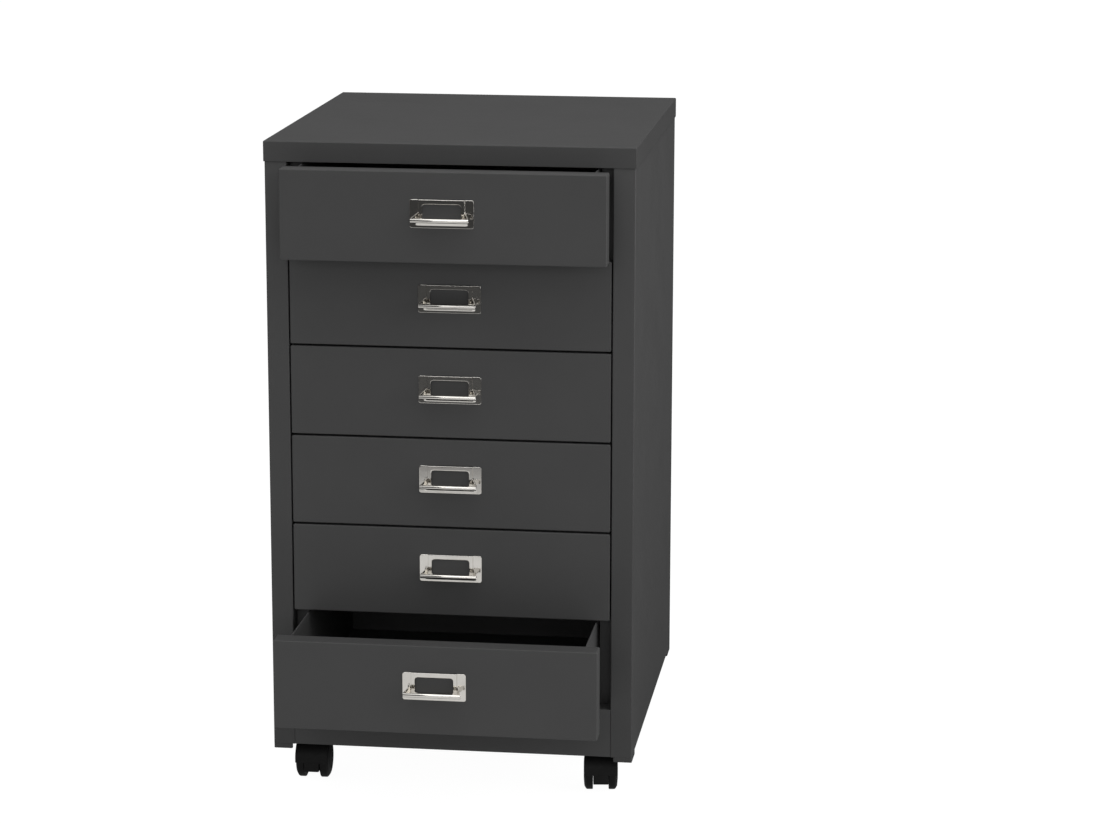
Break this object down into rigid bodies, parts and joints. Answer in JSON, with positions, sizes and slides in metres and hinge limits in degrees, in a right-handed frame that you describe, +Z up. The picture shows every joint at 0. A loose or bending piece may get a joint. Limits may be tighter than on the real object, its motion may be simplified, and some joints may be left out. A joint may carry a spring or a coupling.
{
  "type": "steel drawer cabinet on castors",
  "caption": "Upright folded-steel cabinet on small twin-wheel castors, with a stack of equal drawers that slide on runners and a pressed label pull on each front.",
  "frame": {"origin": "on the floor under the middle of the whole object at rest, which is with the top drawer 44 mm and the lowest drawer 105 mm out", "axes": "+Z up from the floor, -Y out of the drawer fronts, +X to the right seen from the front"},
  "size_m": [0.37, 0.532, 0.663],
  "materials": {
    "powder_coated_steel": "satin dark grey powder coat",
    "nickel_plated_pull": "bright nickel plate",
    "castor_plastic": "moulded black nylon",
    "foot_plastic": "moulded dark grey",
    "zinc_plated_steel": "bright zinc plate"
  },
  "bodies": {
    "root": {"top_cap": "powder_coated_steel", "left_side_panel": "powder_coated_steel", "right_side_panel": "powder_coated_steel", "back_panel": "powder_coated_steel", "bottom_panel": "powder_coated_steel", "bottom_front_rail": "powder_coated_steel", "left_runner_1": "powder_coated_steel", "left_runner_2": "powder_coated_steel", "left_runner_3": "powder_coated_steel", "left_runner_4": "powder_coated_steel", "left_runner_5": "powder_coated_steel", "left_runner_6": "powder_coated_steel", "right_runner_1": "powder_coated_steel", "right_runner_2": "powder_coated_steel", "right_runner_3": "powder_coated_steel", "right_runner_4": "powder_coated_steel", "right_runner_5": "powder_coated_steel", "right_runner_6": "powder_coated_steel", "left_front_castor_stem": "zinc_plated_steel", "right_front_castor_stem": "zinc_plated_steel", "left_rear_castor_stem": "zinc_plated_steel", "right_rear_castor_stem": "zinc_plated_steel", "castor_nuts": "zinc_plated_steel", "corner_feet": "foot_plastic"},
    "drawer_1": {"drawer_1_front": "powder_coated_steel", "drawer_1_tray": "powder_coated_steel", "drawer_1_pull": "nickel_plated_pull"},
    "drawer_2": {"drawer_2_front": "powder_coated_steel", "drawer_2_tray": "powder_coated_steel", "drawer_2_pull": "nickel_plated_pull"},
    "drawer_3": {"drawer_3_front": "powder_coated_steel", "drawer_3_tray": "powder_coated_steel", "drawer_3_pull": "nickel_plated_pull"},
    "drawer_4": {"drawer_4_front": "powder_coated_steel", "drawer_4_tray": "powder_coated_steel", "drawer_4_pull": "nickel_plated_pull"},
    "drawer_5": {"drawer_5_front": "powder_coated_steel", "drawer_5_tray": "powder_coated_steel", "drawer_5_pull": "nickel_plated_pull"},
    "drawer_6": {"drawer_6_front": "powder_coated_steel", "drawer_6_tray": "powder_coated_steel", "drawer_6_pull": "nickel_plated_pull"},
    "left_front_castor": {"left_front_castor_body": "castor_plastic", "left_front_castor_axle": "zinc_plated_steel"},
    "left_front_left_wheel": {"left_front_left_wheel": "castor_plastic"},
    "left_front_right_wheel": {"left_front_right_wheel": "castor_plastic"},
    "right_front_castor": {"right_front_castor_body": "castor_plastic", "right_front_castor_axle": "zinc_plated_steel"},
    "right_front_left_wheel": {"right_front_left_wheel": "castor_plastic"},
    "right_front_right_wheel": {"right_front_right_wheel": "castor_plastic"},
    "left_rear_castor": {"left_rear_castor_body": "castor_plastic", "left_rear_castor_axle": "zinc_plated_steel"},
    "left_rear_left_wheel": {"left_rear_left_wheel": "castor_plastic"},
    "left_rear_right_wheel": {"left_rear_right_wheel": "castor_plastic"},
    "right_rear_castor": {"right_rear_castor_body": "castor_plastic", "right_rear_castor_axle": "zinc_plated_steel"},
    "right_rear_left_wheel": {"right_rear_left_wheel": "castor_plastic"},
    "right_rear_right_wheel": {"right_rear_right_wheel": "castor_plastic"}
  },
  "joints": [
    {"name": "drawer_1_slide", "type": "slide", "parent": "root", "child": "drawer_1", "axis": [0, -1, 0], "range_m": [-0.044, 0.211]},
    {"name": "drawer_2_slide", "type": "slide", "parent": "root", "child": "drawer_2", "axis": [0, -1, 0], "range_m": [0, 0.255]},
    {"name": "drawer_3_slide", "type": "slide", "parent": "root", "child": "drawer_3", "axis": [0, -1, 0], "range_m": [0, 0.255]},
    {"name": "drawer_4_slide", "type": "slide", "parent": "root", "child": "drawer_4", "axis": [0, -1, 0], "range_m": [0, 0.255]},
    {"name": "drawer_5_slide", "type": "slide", "parent": "root", "child": "drawer_5", "axis": [0, -1, 0], "range_m": [0, 0.255]},
    {"name": "drawer_6_slide", "type": "slide", "parent": "root", "child": "drawer_6", "axis": [0, -1, 0], "range_m": [-0.105, 0.15]},
    {"name": "left_front_castor_swivel", "type": "hinge", "parent": "root", "child": "left_front_castor", "pos_m": [-0.148, -0.103, 0.02], "axis": [0, 0, 1], "continuous": true},
    {"name": "left_front_left_wheel_spin", "type": "hinge", "parent": "left_front_castor", "child": "left_front_left_wheel", "pos_m": [-0.14781, -0.114, 0.02], "axis": [-0.9998, -0.0175, 0], "continuous": true},
    {"name": "left_front_right_wheel_spin", "type": "hinge", "parent": "left_front_castor", "child": "left_front_right_wheel", "pos_m": [-0.14781, -0.114, 0.02], "axis": [-0.9998, -0.0175, 0], "continuous": true},
    {"name": "right_front_castor_swivel", "type": "hinge", "parent": "root", "child": "right_front_castor", "pos_m": [0.148, -0.103, 0.02], "axis": [0, 0, 1], "continuous": true},
    {"name": "right_front_left_wheel_spin", "type": "hinge", "parent": "right_front_castor", "child": "right_front_left_wheel", "pos_m": [0.14934, -0.11392, 0.02], "axis": [-0.9925, -0.1219, 0], "continuous": true},
    {"name": "right_front_right_wheel_spin", "type": "hinge", "parent": "right_front_castor", "child": "right_front_right_wheel", "pos_m": [0.14934, -0.11392, 0.02], "axis": [-0.9925, -0.1219, 0], "continuous": true},
    {"name": "left_rear_castor_swivel", "type": "hinge", "parent": "root", "child": "left_rear_castor", "pos_m": [-0.148, 0.225, 0.02], "axis": [0, 0, 1], "continuous": true},
    {"name": "left_rear_left_wheel_spin", "type": "hinge", "parent": "left_rear_castor", "child": "left_rear_left_wheel", "pos_m": [-0.14877, 0.21403, 0.02], "axis": [-0.9976, 0.0698, 0], "continuous": true},
    {"name": "left_rear_right_wheel_spin", "type": "hinge", "parent": "left_rear_castor", "child": "left_rear_right_wheel", "pos_m": [-0.14877, 0.21403, 0.02], "axis": [-0.9976, 0.0698, 0], "continuous": true},
    {"name": "right_rear_castor_swivel", "type": "hinge", "parent": "root", "child": "right_rear_castor", "pos_m": [0.148, 0.225, 0.02], "axis": [0, 0, 1], "continuous": true},
    {"name": "right_rear_left_wheel_spin", "type": "hinge", "parent": "right_rear_castor", "child": "right_rear_left_wheel", "pos_m": [0.1501, 0.2142, 0.02], "axis": [-0.9816, -0.1908, 0], "continuous": true},
    {"name": "right_rear_right_wheel_spin", "type": "hinge", "parent": "right_rear_castor", "child": "right_rear_right_wheel", "pos_m": [0.1501, 0.2142, 0.02], "axis": [-0.9816, -0.1908, 0], "continuous": true}
  ]
}
